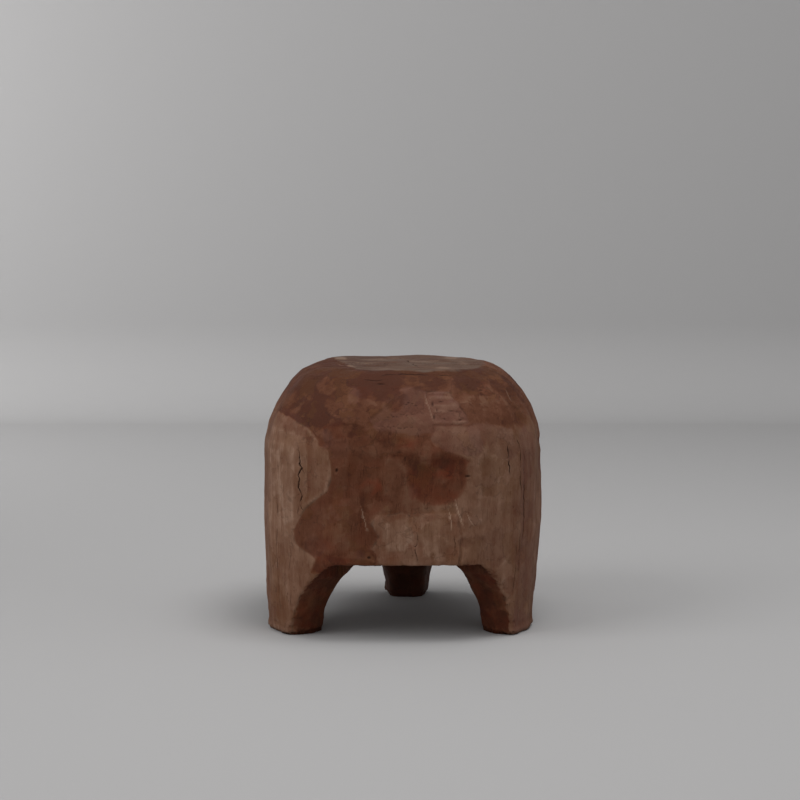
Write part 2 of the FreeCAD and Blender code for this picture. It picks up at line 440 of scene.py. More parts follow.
# %% Checks on the seat
# angle from the right, inner and outer distance from the heart, width, depth
HEART = (12.0, -8.0)
CHECK_STEPS = 5
SEAT_CHECKS = (
    (12, 6, 88, 1.8, 4.0), (97, 10, 112, 1.8, 5.0), (166, 4, 96, 1.8, 4.0),
    (204, 12, 78, 1.6, 3.0), (283, 8, 62, 1.5, 3.0), (342, 16, 84, 1.6, 3.0),
)
for number, (degrees, inner, outer, width, depth) in enumerate(SEAT_CHECKS):
    draw = random.Random(70 + number)
    check = []
    for step in range(CHECK_STEPS + 1):
        reach = inner + (outer - inner) * step / CHECK_STEPS
        turn = math.radians(degrees + draw.uniform(-4, 4))
        check.append((HEART[0] + reach * math.cos(turn), HEART[1] + reach * math.sin(turn)))
    CRACKS.append((TOP, check, width, depth))
print(f"checks on the seat: {len(SEAT_CHECKS)}")

# %% Slashes, rubbed spots and rows of chatter
# side, line, how pale
SLASHES = (
    (FRONT, ((71, 204), (76, 184), (84, 160)), 0.8), (FRONT, ((62, 190), (66, 174), (67, 156)), 0.7),
    (FRONT, ((86, 186), (92, 172), (99, 162)), 0.6), (FRONT, ((-58, 195), (-53, 176), (-48, 152)), 0.45),
    (FRONT, ((29, 346), (37, 322), (43, 304)), 0.3), (FRONT, ((143, 344), (153, 325)), 0.25),
    (TOP, ((28, 42), (60, 36)), 0.6), (TOP, ((50, -22), (82, -30)), 0.7),
    (TOP, ((-96, -6), (-84, -34), (-58, -44)), 0.7), (TOP, ((-90, -28), (-70, -58), (-30, -66)), 0.7),
    (TOP, ((-88, 24), (-60, 8), (-34, 2)), 0.6), (TOP, ((-52, 66), (-18, 78), (12, 74)), 0.5),
    (BACK, ((40, 216), (48, 190)), 0.7), (BACK, ((56, 210), (61, 188)), 0.5),
    (LEFT, ((-40, 232), (-34, 204)), 0.6), (RIGHT, ((4, 140), (9, 118)), 0.6),
)
SLASH_WIDTH, SLASH_DEPTH = 1.7, 0.4

# Places on the seat rubbed to raw wood: middle, half width, half height, how pale
RUBBED_SPOTS = (
    ((-92, 67), 9, 16, 0.30), ((-76, -56), 8, 26, 0.20), ((66, 93), 16, 16, 0.20),
    ((56, -72), 11, 9, 0.18), ((30, 20), 22, 9, 0.10), ((-40, 60), 16, 12, 0.12),
    ((88, 10), 9, 22, 0.14), ((-20, -84), 18, 7, 0.12),
)

# Rows of chatter: side, start, end
CHATTER_ROWS = (
    (FRONT, (-22, 313), (17, 317)), (FRONT, (-33, 300), (13, 300)), (FRONT, (3, 331), (21, 328)),
    (BACK, (-60, 318), (-18, 315)), (LEFT, (30, 306), (66, 309)), (RIGHT, (-30, 318), (8, 316)),
)
CHATTER_STEP = 4.6
print(f"slashes: {len(SLASHES)}, rubbed spots: {len(RUBBED_SPOTS)}, rows: {len(CHATTER_ROWS)}")

# %% Short strokes: side, middle, half width, half height, depth
PITS_PER_SIDE, SEAT_DENTS = 26, 16
draw = random.Random(9)
STROKES = [
    (FRONT, (-90, 241), 2.0, 2.8, 2.2), (FRONT, (89, 233), 4.2, 1.6, 1.6),
    (FRONT, (-46, 120), 3.0, 2.2, 1.6), (FRONT, (-30, 356), 7.0, 1.0, 0.9),
    (FRONT, (41, 330), 1.5, 4.6, 1.2), (FRONT, (43, 313), 1.8, 4.0, 1.1),
    (FRONT, (-5, 266), 5.5, 1.0, 0.9), (FRONT, (3, 256), 1.1, 4.0, 0.8),
    (FRONT, (108, 345), 4.0, 1.4, 0.7), (FRONT, (52, 333), 4.0, 0.9, 0.8),
    (FRONT, (66, 321), 5.0, 0.8, 0.7), (FRONT, (47, 322), 1.2, 2.6, 1.0),
    (FRONT, (78, 309), 3.0, 1.2, 0.8), (FRONT, (57, 311), 1.6, 1.4, 0.9),
]
for side, start, end in CHATTER_ROWS:
    count = round(math.dist(start, end) / CHATTER_STEP)
    for step in range(count):
        share = (step + draw.uniform(0.1, 0.9)) / count
        along = start[0] + (end[0] - start[0]) * share
        up = start[1] + (end[1] - start[1]) * share + draw.uniform(-2.2, 2.2)
        half_width, half_height = draw.uniform(0.9, 2.6), draw.uniform(0.7, 1.4)
        STROKES.append((side, (along, up), half_width, half_height, draw.uniform(0.3, 1.0)))
for side in (FRONT, RIGHT, BACK, LEFT):
    for _ in range(PITS_PER_SIDE):
        middle = (draw.uniform(-165, 165), draw.uniform(20, 330))
        STROKES.append((side, middle, draw.uniform(0.7, 1.2), draw.uniform(0.8, 2.2), 0.4))
for _ in range(SEAT_DENTS):
    middle = (draw.uniform(-105, 105), draw.uniform(-95, 105))
    STROKES.append((TOP, middle, draw.uniform(5, 14), draw.uniform(1.4, 2.6), draw.uniform(0.7, 1.5)))
print(f"short strokes: {len(STROKES)}")

# %% [markdown]
# ## Finer squares where the marks are
#
# The even squares are about 4 mm wide, and a crack is narrower than that. Making all the squares finer
# would give millions of them. Instead only the squares under a mark are divided, each into nine,
# and those under a crack once more.


# %% Divide the squares near the marks
FACING_SHARE = 0.2      # a mark touches only points that face its paper by more than this


def points_and_normals(mesh):
    """A mesh's points in millimetres, and the direction that each one faces."""
    return read_array(mesh.vertices, "co", 3) / MM, read_array(mesh.vertices, "normal", 3)


def refined(mesh, wanted, cuts):
    """A mesh with each edge divided whose two points are both wanted."""
    bm = bmesh.new()
    bm.from_mesh(mesh)
    chosen = [edge for edge in bm.edges if wanted[edge.verts[0].index] and wanted[edge.verts[1].index]]
    bmesh.ops.subdivide_edges(bm, edges=chosen, cuts=cuts, use_grid_fill=True, use_single_edge=True)
    finer = bpy.data.meshes.new("finer_log")
    bm.to_mesh(finer)
    bm.free()
    return finer


def arris_height(points, normals, mesh, rounds=12):
    """How far each point stands out from its smoothed surroundings, in millimetres."""
    edges = read_array(mesh.edges, "vertices", 2, np.int32)
    softer = smoothed(points, edges, np.ones(len(points)), rounds, steps=(0.5,))
    return ((points - softer) * normals).sum(axis=1)


def near_marks(mesh, reach, lines_only):
    """Which points of a mesh lie within reach of a mark, or on an arris of the arches."""
    points, normals = points_and_normals(mesh)
    near = np.zeros(len(points), dtype=bool)
    lines = [(side, line, False, width / 2) for side, line, width, _ in CRACKS]
    if not lines_only:
        lines += [(side, line, False, SLASH_WIDTH / 2) for side, line, _ in SLASHES]
        lines += [(side, outline, True, 0) for side, outline, *_ in FACETS]
        lines += [(side, ((x - a, z), (x + a, z)), False, b) for side, (x, z), a, b, _ in STROKES]
        near |= arris_height(points, normals, mesh) * (points[:, 2] < UNDERSIDE + 6) > 0.5
    for side, line, closed, extra in lines:
        drawn, facing = on_paper(points, normals, side)
        gap, _ = line_distance(drawn, line, closed)
        near |= (gap < reach + extra) & (facing > FACING_SHARE)
    return near


layer = blank.attributes.new("arris", "FLOAT", "POINT")
blank_arris = arris_height(*points_and_normals(blank), blank)
layer.data.foreach_set("value", blank_arris.astype(np.float32))
fine = refined(blank, near_marks(blank, 3.2, lines_only=False), cuts=2)
fine = refined(fine, near_marks(fine, 1.0, lines_only=True), cuts=1)
print(f"finer skin: {len(fine.vertices)} points, {len(fine.polygons)} faces")

# %% [markdown]
# ## Chance that repeats
#
# Hewn wood needs unevenness at every size, and the same unevenness each time the script runs. So
# the random numbers come from a hash: the same place always gives the same number. Noise blends the
# numbers of the eight corners around a point. Scoops are the marks of a curved blade: each point
# belongs to the nearest of many scattered centres, and lies higher the further it is from it, so
# that neighbouring scoops meet in a ridge.


# %% Noise and scoops
RIDGE_GAP = 0.6         # squared distance, in cells, from a scoop's centre to the ridge around it


def hashed(cells, seed):
    """A random number from 0 to 1 for each row of whole numbers."""
    key = cells * (73856093, 19349663, 83492791)
    mixed = (key[:, 0] ^ key[:, 1] ^ key[:, 2] ^ (seed * 2654435761)) & 0xFFFFFFFF
    mixed = ((mixed ^ (mixed >> 13)) * 1274126177) & 0xFFFFFFFF
    return ((mixed ^ (mixed >> 16)) & 0xFFFF) / 65535


def noise(points, size, seed):
    """Smooth noise from -1 to 1 with bumps about one size across. The size may differ per axis."""
    cells = points / np.asarray(size, dtype=float)
    corner = np.floor(cells).astype(np.int64)
    part = cells - corner
    part = part * part * (3 - 2 * part)
    total = np.zeros(len(points))
    for offset in itertools.product((0, 1), repeat=3):
        share = np.prod(np.where(offset, part, 1 - part), axis=1)
        total += share * (2 * hashed(corner + offset, seed) - 1)
    return total


def scoops(points, size, seed):
    """Height from 0 in each scoop to about 1 on the ridges, and a random number per scoop."""
    cells = points / np.asarray(size, dtype=float)
    corner = np.floor(cells).astype(np.int64)
    nearest = np.full(len(points), np.inf)
    chance = np.zeros(len(points))
    for offset in itertools.product((-1, 0, 1), repeat=3):
        cell = corner + offset
        middle = cell + np.stack([hashed(cell, seed + axis) for axis in range(3)], axis=1)
        gap = ((cells - middle) ** 2).sum(axis=1)
        closer = gap < nearest
        nearest = np.where(closer, gap, nearest)
        chance = np.where(closer, hashed(cell, seed + 3), chance)
    return nearest / RIDGE_GAP, chance


# %% [markdown]
# ## Which wood is where
#
# The log's surface isn't the same all over. The flanks show long upright grain. The shoulder is
# rounder and more worn. The seat is end grain. The arches and the underside were cut roughly, out
# of sight, and were never rubbed smooth. These regions are masks from 0 to 1, read from the height
# of each point and the way it faces.

# %% Regions
points, normals = points_and_normals(fine)
edges = read_array(fine.edges, "vertices", 2, np.int32)
height = points[:, 2]
radial = points[:, :2] / np.linalg.norm(points[:, :2], axis=1)[:, None]
outward = (normals[:, :2] * radial).sum(axis=1)
# Drift bends the larger patterns slowly, and ragged frays the edges of marks and regions
drift = np.stack([noise(points, 46, seed) for seed in (1, 2, 3)], axis=1)
ragged = noise(points, 15, 4) + 0.5 * noise(points, 6, 5)

seat_inside = depth_inside(points[:, :2] + 0.8 * ragged[:, None], SEAT_OUTLINE)
seat = ramp(seat_inside, -1.2, 1.2) * ramp(normals[:, 2], 0.80, 0.92) * (height > SEAT_TOP - 5)
under = ramp(normals[:, 2], -0.60, -0.85) * ramp(height, UNDERSIDE + 8, UNDERSIDE + 3)
rough = ramp(outward + 0.06 * ragged, 0.55, 0.25) * ramp(height, UNDERSIDE + 6, UNDERSIDE - 2)
rough = np.maximum(rough, under)
shoulder = ramp(height + 3 * ragged, SEAT_TOP - 92, SEAT_TOP - 66) * (1 - seat)
flank = (1 - shoulder) * (1 - seat) * (1 - rough)
sole = (normals[:, 2] < -0.7) & (height < 4)
for name, region in (("seat", seat), ("rough", rough), ("shoulder", shoulder), ("flank", flank)):
    print(f"{name}: {100 * region.mean():.0f}% of the points")

# %% [markdown]
# ## Carving
#
# All cuts are added up as one height per point, measured along the direction that the point faces,
# and the points are moved once. The large, soft shapes come first: a slow swell, and the scoops,
# which are long on the flanks, round on the shoulder and short and deep where the wood was left
# rough. They are balanced about zero, so the log keeps the size that the frame gives it.

# %% Swell, scoops and grain
RIDGE_CAP, SCOOP_MEAN = 1.3, 0.55
wandering = points + 9 * drift
lift = 1.1 * noise(points, (120, 120, 170), 11) + 0.6 * noise(points, (55, 55, 80), 12)
lift *= 1 - 0.6 * seat
# The wood falls away just outside the seat's flat
lift -= 0.8 * ramp(-seat_inside, 0, 28) * ramp(height, SEAT_TOP - 14, SEAT_TOP - 2)

flank_scoops, flank_chance = scoops(wandering, (72, 72, 104), 20)
shoulder_scoops, shoulder_chance = scoops(wandering, (58, 58, 50), 30)
rough_scoops, rough_chance = scoops(wandering, (30, 30, 34), 40)
seat_scoops, seat_chance = scoops(wandering, (64, 34, 60), 50)
chips_wandering = points + 5 * drift + 3 * ragged[:, None]
chip_scoops, chip_chance = scoops(chips_wandering, (27, 27, 36), 90)
for region, height_of, depth in (
    (flank, flank_scoops, 1.3), (shoulder, shoulder_scoops, 1.2),
    (rough, rough_scoops, 2.4), (seat, seat_scoops, 1.6),
    (flank, chip_scoops, 0.8), (shoulder, chip_scoops, 1.3), (rough, chip_scoops, 0.8),
):
    lift += region * depth * (np.minimum(height_of, RIDGE_CAP) - SCOOP_MEAN)
# The left shoulder is fuller, the seat's left end higher and its right end lower
lift += 2.4 * shoulder * ramp(points[:, 0], -60, -130) * ramp(height, SEAT_TOP - 3, SEAT_TOP - 20)
lift += 0.9 * seat * ramp(points[:, 0], -50, -90)
lift -= 1.1 * ramp(points[:, 0], 45, 100) * ramp(height, SEAT_TOP - 14, SEAT_TOP - 2)
lift += 1.0 * ramp(points[:, 0], -60, -105) * ramp(height, SEAT_TOP - 24, SEAT_TOP - 8)
# The feet keep their full width down to the floor
lift += 2.6 * ramp(height, 14, 5) * ramp(outward, 0.0, 0.5)

upright = noise(wandering, (7, 7, 150), 61) + 0.5 * noise(wandering, (3.4, 3.4, 80), 62)
lift += 0.26 * upright * flank + 0.10 * upright * (shoulder + rough)
print(f"swell, scoops and grain: {lift.min():.1f} to {lift.max():.1f} mm")

# %% Hollows and facets, with the finish that each one wears
SHARP_EDGE = 3.0        # paint edges narrower than this hold a line of dirt
tone = 0.56 * flank + 0.19 * shoulder + 0.14 * seat + 0.06 * rough
tone -= 0.22 * shoulder * ramp(height, SEAT_TOP - 48, SEAT_TOP - 12)
tone -= 0.17 * shoulder * ramp(points[:, 0], -25, -90)
# Painted sheen: the left shoulder is paler near its silhouette, where a grazing light catches it
tone += 0.16 * shoulder * ramp(points[:, 0], -118, -155)
tone += 0.05 * shoulder * ramp(points[:, 0], 80, 130)
tone += 0.20 * (flank_chance - 0.5) * flank + 0.26 * (shoulder_chance - 0.5) * shoulder
tone += 0.14 * (rough_chance - 0.5) * rough + 0.16 * (seat_chance - 0.5) * seat
redness = 0.9 * rough * (0.5 + 0.5 * rough_chance) + 0.05 * shoulder
hollow = np.zeros(len(points))
dirt_line = np.zeros(len(points))
for side, outline, cut, slope, facet_tone, facet_red, edge in FACETS:
    drawn, facing = on_paper(points + 1.5 * ragged[:, None], normals, side)
    inside = depth_inside(drawn, outline)
    seen = ramp(facing, 0.05, 0.3) * (1 - rough)
    border = ramp(inside, -slope * 0.25, slope * 0.75) * seen
    middle = ramp(inside, 0, MIDDLE_REACH) * seen
    lift -= cut * (border * (1 - CUT_RATIO_IN_MIDDLE) + middle * CUT_RATIO_IN_MIDDLE)
    if cut > 0:
        lift += 0.2 * ramp(np.abs(inside + slope * 0.3), slope * 0.6, 0) * seen
        hollow = np.maximum(hollow, border)
    if edge < SHARP_EDGE:
        foot = inside + 0.8 * math.copysign(1, cut)
        dirt_line = np.maximum(dirt_line, ramp(np.abs(foot), 1.6, 0.4) * seen)
    paint = ramp(inside, -edge / 2, edge / 2) * seen
    tone += (facet_tone - tone) * paint
    redness += (facet_red - redness) * paint
tone += (0.12 + 0.08 * shoulder) * (chip_chance - 0.5) * (1 - seat)
tone -= 0.09 * flank * ramp(height, 150, 40)
# Painted shade: a darker band just below the seat's front rim, where the face turns down away from the
# light above
shade_below_front_rim = ramp(seat_inside, -14, -7) * ramp(seat_inside, 9, 2) * ramp(points[:, 1], 10, -50)
tone -= 0.12 * shade_below_front_rim
print(f"after the hollows: {lift.min():.1f} to {lift.max():.1f} mm")

# %% Flakes, and the ribs that the blade left on the scuffed plate
FLAKE_STEP, FLAKE_REACH = 0.45, 12.0    # height of a flake's edge; how far round it points are read
# Each flake lays its share of mauve: partly rubbed-through finish, partly a painted sheen of cool light on
# wax
mauve = np.zeros(len(points))
for side, outline, shift, red, mauve_share in FLAKES:
    drawn, facing = on_paper(points + 2.2 * ragged[:, None], normals, side)
    low, high = np.min(outline, axis=0) - FLAKE_REACH, np.max(outline, axis=0) + FLAKE_REACH
    close = np.flatnonzero(((drawn > low) & (drawn < high)).all(axis=1) & (facing > FACING_SHARE))
    inside = depth_inside(drawn[close], outline)
    seen = ramp(facing[close], 0.2, 0.45) * (1 - rough[close]) * (1 - seat[close])
    paint = ramp(inside, -1.2, 1.2) * seen
    lift[close] += FLAKE_STEP * math.copysign(1, shift) * ramp(inside, -0.4, 2.2) * seen
    tone[close] += shift * paint
    redness[close] += (red - redness[close]) * paint
    mauve[close] += (mauve_share - mauve[close]) * paint
drawn, facing = on_paper(points, normals, FRONT)
on_plate = ramp(depth_inside(drawn, SCUFFED_PLATE), 0, 4) * (facing > FACING_SHARE)
ribs = noise(points, (26, 26, 3.6), 96)
lift += 0.9 * ribs * on_plate
tone += 0.34 * ribs * on_plate
print(f"mauve: {(mauve > 0.3).sum()} points")

# %% Cracks, slashes, strokes and chipped edges
crack = np.zeros(len(points))
scuff = np.zeros(len(points))
zigzag = np.stack((noise(points, (9, 9, 5), 71), noise(points, (6, 6, 9), 72)), axis=1)
for side, line, width, depth in CRACKS:
    drawn, facing = on_paper(points, normals, side)
    gap, place = line_distance(drawn + min(2.4, 0.6 * depth) * zigzag, line)
    taper = ramp(place, -0.04, 0.22) * ramp(place, 1.04, 0.72)
    tone -= 0.09 * depth / 4 * ramp(gap, 9, 1) * taper * (facing > FACING_SHARE)
    taper *= np.clip(0.70 + 1.0 * noise(points, (8, 8, 11), 73), 0, 1)
    across = np.clip(1 - gap / (width / 2 * (0.35 + 0.65 * taper)), 0, 1) * (facing > FACING_SHARE)
    lift -= depth * taper * across ** 0.7
    darkness = min(1, 0.4 + 0.2 * depth)
    crack = np.maximum(crack, darkness * ramp(across * taper, 0.02, 0.35))
for side, line, pale in SLASHES:
    drawn, facing = on_paper(points, normals, side)
    gap, place = line_distance(drawn + 0.6 * zigzag, line)
    taper = ramp(place, -0.05, 0.3) * ramp(place, 1.05, 0.7)
    across = np.clip(1 - gap / (SLASH_WIDTH / 2 * (0.3 + 0.7 * taper)), 0, 1) * (facing > FACING_SHARE)
    lift -= SLASH_DEPTH * across * taper
    scuff = np.maximum(scuff, pale * ramp(across, 0, 0.6) * taper)
for side, (along, up), half_width, half_height, depth in STROKES:
    drawn, facing = on_paper(points, normals, side)
    gap = np.hypot((drawn[:, 0] - along) / half_width, (drawn[:, 1] - up) / half_height)
    across = ramp(gap, 1.25, 0.2) * (facing > FACING_SHARE)
    lift -= depth * across
    crack = np.maximum(crack, min(0.8, 0.25 + 0.3 * depth) * across)
for (along, across_seat), half_width, half_height, pale in RUBBED_SPOTS:
    gap = np.hypot((points[:, 0] - along) / half_width, (points[:, 1] - across_seat) / half_height)
    scuff = np.maximum(scuff, pale * ramp(gap + 0.6 * ragged, 1.1, 0.8) * seat)
print(f"cracked: {(crack > 0.5).sum()} points, scuffed: {(scuff > 0.2).sum()} points")

# %% Chips along the arrises
arris = read_array(fine.attributes["arris"].data, "value", 1)[:, 0]
arris = ramp(arris, 0.3, 1.0) * ramp(seat_inside, 0, -6)
chips = ramp(noise(points, (14, 14, 18), 81) + 0.45 * noise(points, 5, 82), 0.15, 0.9)
lift -= 1.5 * arris * chips
dirt_line = np.maximum(dirt_line, arris * chips)
print(f"arris points: {(arris > 0.5).sum()}")

# %% Painted shade on the rear leg, the underside and the soles, and dirt along edges
# Painted shade: the rear leg and the underside, out of the light beneath the seat, are darkened
painted_shade_and_dirt = 0.45 * ramp(points[:, 1], 20, 110) * ramp(height, UNDERSIDE + 4, UNDERSIDE - 4)
painted_shade_and_dirt = np.maximum(painted_shade_and_dirt, 0.4 * under)
# Painted contact shadow: a dark line round the soles, just above the floor
painted_shade_and_dirt = np.maximum(painted_shade_and_dirt, (0.5 + 0.3 * ragged) * ramp(height, 8, 1))
# Real dirt along the crisp facet edges and the chipped arrises
painted_shade_and_dirt = np.maximum(painted_shade_and_dirt, dirt_line * ramp(noise(points, 14, 95), -0.1, 0.5) * 0.45)
print(f"shaded_and_dirty: {(painted_shade_and_dirt > 0.3).sum()} points")

# %% [markdown]
# ## Moving the points
#
# Three rules keep the carved log true to the frame. The soles stay flat on the floor. The underside
# is only cut upwards, because the legs and the block are parted just below it. And nothing on the
# underside may hang lower than that cut.

# %% Move them
SEAM, ABOVE_SEAM = UNDERSIDE - 0.3, 0.35
lift[sole] = 0
upwards = ramp(under, 0, 0.3)
lift = lift * (1 - upwards) - np.abs(lift) * upwards
carved = points + normals * lift[:, None]
floor_side = under > 0.5
carved[floor_side, 2] = np.maximum(carved[floor_side, 2], SEAM + ABOVE_SEAM)
carved[sole, 2] = 0
carved[:, 2] = np.maximum(carved[:, 2], 0)
put_points(fine, carved)
low, high = carved.min(axis=0), carved.max(axis=0)
print("carved log:", np.round(low, 1), "to", np.round(high, 1))

# %% [markdown]
# ## Wear and dirt
#
# Cloth and hands rub the ridges and leave dirt in the dips. Both can be read from the shape itself:
# a point that stands above the average of its neighbourhood is a ridge, and one below it is a dip.
# The number is kept per point, with the other finishes, so that the material can read it.

# %% Read wear from the shape and keep all finishes on the skin
WEAR_FULL = 0.55        # a ridge this high, in millimetres, is fully worn
skin_normals = read_array(fine.vertices, "normal", 3)
wear = np.clip(arris_height(carved, skin_normals, fine, rounds=10) / WEAR_FULL, -1, 1)
clear_grain = 0.35 * ramp(noise(points, (60, 60, 90), 97), 0.0, 0.35)
clear_grain = np.maximum(clear_grain, 0.6 * ramp(height, 130, 80))
clear_grain = flank * np.maximum(clear_grain, ramp(np.abs(points[:, 0] + 3), 152, 170))
finishes = {
    "tone": tone, "redness": redness, "crack": crack, "scuff": scuff, "wear": wear,
    "end_grain": seat, "long_grain": flank * (1 - 0.5 * hollow), "painted_shade_and_dirt": np.clip(painted_shade_and_dirt, 0, 1),
    "mauve": mauve, "clear_grain": clear_grain,
}
for name, values in finishes.items():
    layer = fine.attributes.new(name, "FLOAT", "POINT")
    layer.data.foreach_set("value", values.astype(np.float32))
fine.attributes.remove(fine.attributes["arris"])
skin = fine.attributes.new("skin_normal", "FLOAT_VECTOR", "POINT")
skin.data.foreach_set("vector", skin_normals.astype(np.float32).ravel())
print("finishes:", ", ".join(finishes))

# %% [markdown]
# ## Parting the skin
#
# The frame holds a block and three legs, so the carved skin is cut level, just below the underside,
# and each part is closed with a cap. Where a part is cut, Blender would bend the shading towards
# the cap and draw a line round the stool. So each part keeps the normals of the uncut skin.


# %% Cut, cap and part
def parted(mesh, keep_upper):
    """The part of a mesh above or below the seam, closed with flat caps."""
    bm = bmesh.new()
    bm.from_mesh(mesh)
    is_cap = bm.faces.layers.int.new("cap")
    everything = bm.verts[:] + bm.edges[:] + bm.faces[:]
    cut = bmesh.ops.bisect_plane(
        bm, geom=everything, plane_co=(0, 0, SEAM * MM), plane_no=(0, 0, 1),
        clear_inner=keep_upper, clear_outer=not keep_upper,
    )
    rim = [item for item in cut["geom_cut"] if isinstance(item, bmesh.types.BMEdge)]
    direction = (0, 0, -1 if keep_upper else 1)
    caps = bmesh.ops.triangle_fill(bm, edges=rim, use_beauty=True, normal=direction)
    for item in caps["geom"]:
        if isinstance(item, bmesh.types.BMFace):
            item[is_cap] = 1
            if item.normal.z * direction[2] < 0:
                item.normal_flip()
    return bm


def islands(bm):
    """The separate closed parts of a bmesh, each as a set of its points."""
    unseen = set(bm.verts)
    found = []
    for start in bm.verts:
        if start not in unseen:
            continue
        unseen.remove(start)
        island, border = {start}, [start]
        while border:
            vertex = border.pop()
            for edge in vertex.link_edges:
                other = edge.other_vert(vertex)
                if other in unseen:
                    unseen.remove(other)
                    island.add(other)
                    border.append(other)
        found.append(island)
    return found


def piece_from(bm, name):
    """A Blender object from a bmesh, shaded with the uncut skin's normals."""
    mesh = bpy.data.meshes.new(name)
    bm.to_mesh(mesh)
    mesh.polygons.foreach_set("use_smooth", np.ones(len(mesh.polygons), dtype=bool))
    skin_normal = read_array(mesh.attributes["skin_normal"].data, "vector", 3)
    corner_point = read_array(mesh.loops, "vertex_index", 1, np.int32)[:, 0]
    corner_normal = skin_normal[corner_point]
    face_size = read_array(mesh.polygons, "loop_total", 1, np.int32)[:, 0]
    cap = read_array(mesh.attributes["cap"].data, "value", 1, np.int32)[:, 0]
    on_cap = np.repeat(cap, face_size) == 1
    face_normal = np.repeat(read_array(mesh.polygons, "normal", 3), face_size, axis=0)
    corner_normal[on_cap] = face_normal[on_cap]
    corner_normal /= np.linalg.norm(corner_normal, axis=1)[:, None]
    mesh.normals_split_custom_set(corner_normal.tolist())
    mesh.attributes.remove(mesh.attributes["skin_normal"])
    mesh.attributes.remove(mesh.attributes["cap"])
    piece = bpy.data.objects.new(name, mesh)
    bpy.context.collection.objects.link(piece)
    return piece


# %% The hewn block and the three legs
CRUMB_POINTS = 100      # what the cut leaves loose and smaller than this isn't a leg
pieces = {"seat_block": piece_from(parted(fine, keep_upper=True), "hewn_seat_block")}
feet = parted(fine, keep_upper=False)
feet.verts.index_update()
for island in islands(feet):
    middle = np.mean([vertex.co for vertex in island], axis=0) / MM
    if len(island) < CRUMB_POINTS:
        print(f"crumb of {len(island)} points left out at {middle}")
        continue
    name = "rear_leg" if middle[1] > 0 else "front_left_leg" if middle[0] < 0 else "front_right_leg"
    kept = {vertex.index for vertex in island}
    one_leg = feet.copy()
    others = [vertex for vertex in one_leg.verts if vertex.index not in kept]
    bmesh.ops.delete(one_leg, geom=others, context="VERTS")
    pieces[name] = piece_from(one_leg, "hewn_" + name)
for name, piece in pieces.items():
    triangles = sum(len(face.vertices) - 2 for face in piece.data.polygons)
    print(f"{piece.name}: {triangles} triangles")

# %% [markdown]
# ## The wood: oiled, hand-hewn hardwood
#
# Old hardwood, hewn green and rubbed with oil. The upright grain is drawn in the log's own
# millimetres, so it runs straight through flank, shoulder and leg, turns to rings on the seat, and
# bends where the wood grew unevenly. Oil darkened the pores and the hollows, and use wore the open
# flats pale. The sheen is low: roughness about 0.7, with the worn ridges a little smoother.
#
# All patterns are solid: they fill the whole log like real grain, and the carving uncovers them.


# %% One helper for nodes, one for colours
def add(tree, kind, inputs=None, **settings):
    """A node in a tree, with its settings made and its inputs set or linked."""
    made = tree.nodes.new(kind)
    for name, value in settings.items():
        setattr(made, name, value)
    for name, value in (inputs or {}).items():
        if isinstance(value, bpy.types.NodeSocket):
            tree.links.new(value, made.inputs[name])
        else:
            made.inputs[name].default_value = value
    return made


def linear(hex_colour):
    """An sRGB hex colour as the linear numbers that Blender's sockets hold."""
    shares = [int(hex_colour[start:start + 2], 16) / 255 for start in (1, 3, 5)]
    return (*(s / 12.92 if s <= 0.04045 else ((s + 0.055) / 1.055) ** 2.4 for s in shares), 1.0)


# %% Places in the wood, in millimetres
wood = bpy.data.materials.new("oiled_hewn_hardwood")
wood.use_nodes = True
tree = wood.node_tree
tree.nodes.clear()
GRAIN_WANDER = 9.0
WANDER_SIZE = 95.0

place = add(tree, "ShaderNodeTexCoord").outputs["Object"]
in_mm = add(tree, "ShaderNodeVectorMath", {0: place, "Scale": 1 / MM}, operation="SCALE").outputs[0]
slow = add(tree, "ShaderNodeTexNoise", {"Vector": in_mm, "Scale": 1 / WANDER_SIZE, "Detail": 1.0})
centred = add(tree, "ShaderNodeVectorMath", {0: slow.outputs["Color"], 1: (0.5, 0.5, 0.5)},
              operation="SUBTRACT")
bend = add(tree, "ShaderNodeVectorMath", {0: centred.outputs[0], "Scale": 2 * GRAIN_WANDER},
           operation="SCALE")
in_grain = add(tree, "ShaderNodeVectorMath", {0: in_mm, 1: bend.outputs[0]}, operation="ADD").outputs[0]


def pattern(size, detail=2.0, at=in_grain):
    """Noise from 0 to 1 with bumps of a size in millimetres across, deep and along the grain."""
    shrink = tuple(1 / length for length in size)
    stretched = add(tree, "ShaderNodeVectorMath", {0: at, 1: shrink}, operation="MULTIPLY").outputs[0]
    return add(tree, "ShaderNodeTexNoise", {"Vector": stretched, "Scale": 1.0, "Detail": detail}).outputs[0]


def shifted(value, shifts):
    """A value moved up and down by patterns: each with how far, and within which region if any."""
    for source, reach, *region in shifts:
        if region:
            limited = add(tree, "ShaderNodeMath", {0: region[0], 1: reach}, operation="MULTIPLY")
            reach = limited.outputs[0]
        swing = add(tree, "ShaderNodeMath", {0: source, 1: 0.5}, operation="SUBTRACT").outputs[0]
        value = add(tree, "ShaderNodeMath", {0: swing, 1: reach, 2: value},
                    operation="MULTIPLY_ADD").outputs[0]
    return value


finish = {name: add(tree, "ShaderNodeAttribute", attribute_name=name).outputs["Fac"] for name in finishes}
print(f"wood reads {len(finish)} finishes from the skin")

# %% [markdown]
# ### Tone
#
# One number says how pale the wood is. The carving already painted it facet by facet. Here patterns
# move it: blotches 60 mm wide where the finish wore off unevenly, patches with firm, torn edges,
# upright streaks of early and late wood, fibres and pores. Real fibres are a tenth of this width,
# but at this size they still show in a picture of the whole stool.

